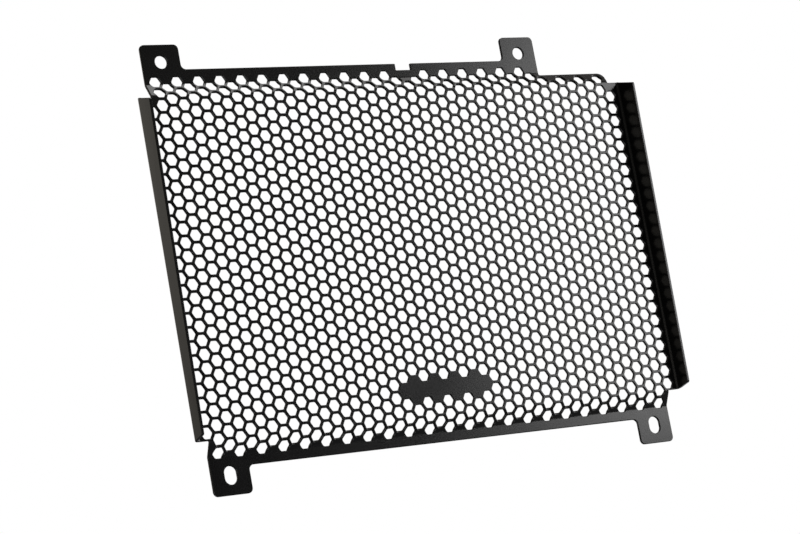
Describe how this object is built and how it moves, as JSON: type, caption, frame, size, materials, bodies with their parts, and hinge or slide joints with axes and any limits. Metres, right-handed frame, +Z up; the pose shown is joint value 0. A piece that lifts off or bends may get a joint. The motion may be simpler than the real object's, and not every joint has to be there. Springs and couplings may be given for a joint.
{
  "type": "motorcycle radiator guard",
  "caption": "Folded sheet-metal guard with a honeycomb of hexagonal holes, forward side flanges, stepped edges and bolt-on ears, made to shield a motorcycle's radiator from stones.",
  "frame": {"origin": "midway between the two lower slots, on the plane where the backs of the ears bear", "axes": "+X to the right of someone who faces the guard, +Y from the front to the bike behind it, +Z up"},
  "size_m": [0.2816, 0.018, 0.218],
  "materials": {
    "coated_sheet": "satin black powder coat on aluminium sheet"
  },
  "bodies": {
    "root": {"radiator_guard": "coated_sheet"}
  },
  "joints": []
}
